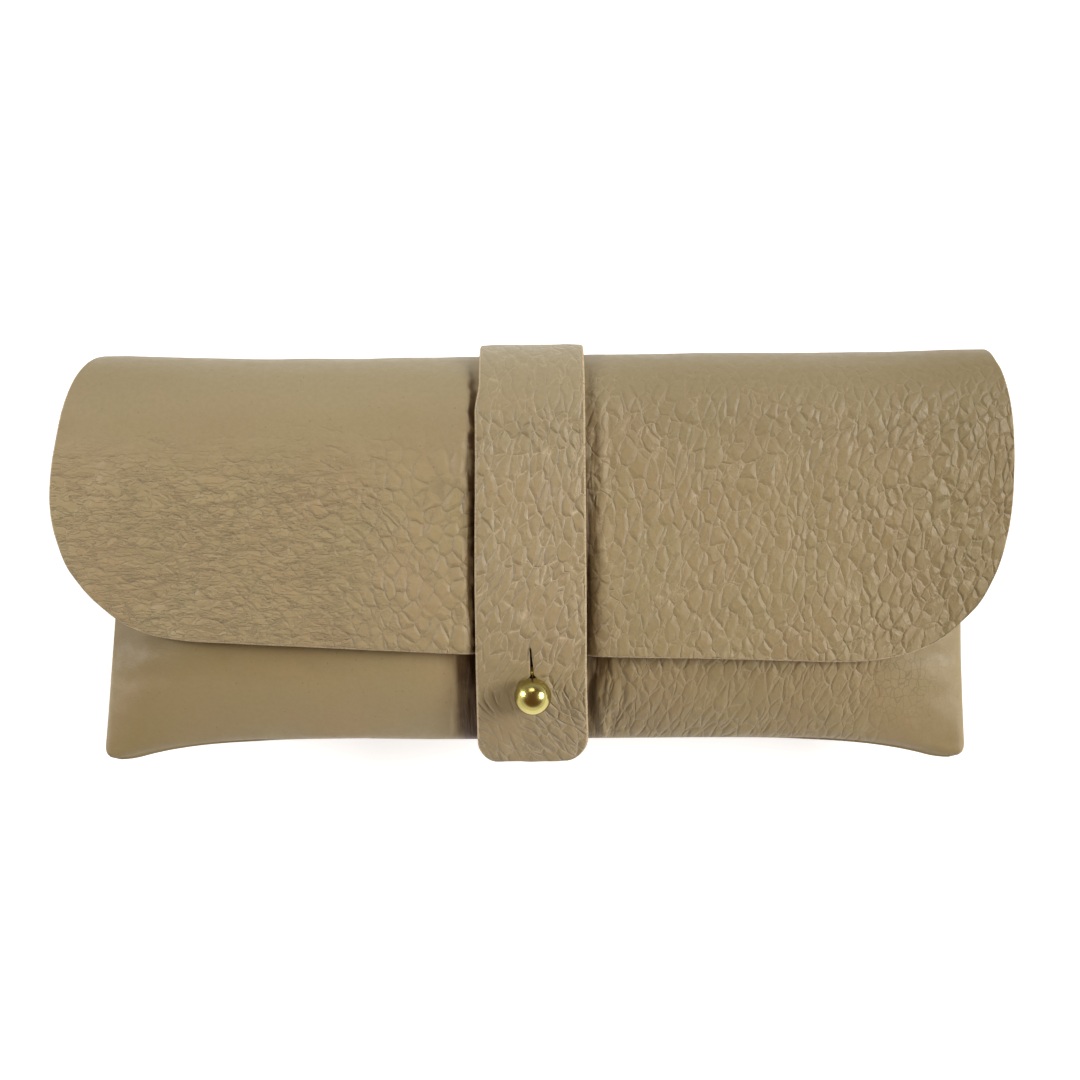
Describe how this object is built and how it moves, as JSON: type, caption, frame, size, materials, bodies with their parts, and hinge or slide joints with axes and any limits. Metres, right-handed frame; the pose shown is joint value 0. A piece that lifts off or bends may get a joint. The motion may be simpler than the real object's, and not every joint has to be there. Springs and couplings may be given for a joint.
{
  "type": "soft leather glasses case",
  "caption": "Soft leather glasses pouch with a rounded fold-over flap, held shut by a strap with a keyhole slit over a ball stud.",
  "frame": {"origin": "middle of the closed case in length and height, on the flat rear face of the strap that it lies on", "axes": "+X along the case, +Y from the bottom seam to the top fold, +Z out of the front towards the flap and stud"},
  "size_m": [0.176, 0.077, 0.0314],
  "materials": {
    "pouch_hide": "grained, semi-matt, olive tan",
    "strap_hide": "pebble grain, semi-matt, olive tan",
    "flesh_side": "napped suede",
    "sewing_thread": "waxed thread",
    "stud_brass": "polished"
  },
  "bodies": {
    "pouch": {"back_panel": "pouch_hide", "front_panel": "pouch_hide", "seam_thread": "sewing_thread", "strap_back": "strap_hide", "strap_stitching": "sewing_thread", "stud_head": "stud_brass", "stud_screw": "stud_brass", "stud_patch": "flesh_side"},
    "rear_fold": {"top_fold_rear": "pouch_hide", "strap_fold_rear": "strap_hide"},
    "front_fold": {"top_fold_front": "pouch_hide", "strap_fold_front": "strap_hide"},
    "cover": {"flap": "pouch_hide", "strap_top": "strap_hide"},
    "strap_end": {"strap_front": "strap_hide", "strap_tip": "strap_hide"}
  },
  "joints": [
    {"name": "flap_open", "type": "hinge", "parent": "pouch", "child": "rear_fold", "pos_m": [0, 0.02993, 0.0038], "axis": [-1, 0, 0], "range_deg": [0, 45]},
    {"name": "top_bend", "type": "hinge", "parent": "rear_fold", "child": "front_fold", "pos_m": [0, 0.03645, 0.0151], "axis": [-1, 0, 0], "range_deg": [0, 45]},
    {"name": "front_bend", "type": "hinge", "parent": "front_fold", "child": "cover", "pos_m": [0, 0.02993, 0.0264], "axis": [-1, 0, 0], "range_deg": [0, 45]},
    {"name": "strap_lift", "type": "hinge", "parent": "cover", "child": "strap_end", "pos_m": [0, 0.018, 0.02815], "axis": [-1, 0, 0], "range_deg": [0, 40], "deforming": ["strap_tip"]}
  ],
  "couplings": [
    {"joint": "top_bend", "follows": "flap_open", "ratio": 1},
    {"joint": "front_bend", "follows": "flap_open", "ratio": 1}
  ]
}
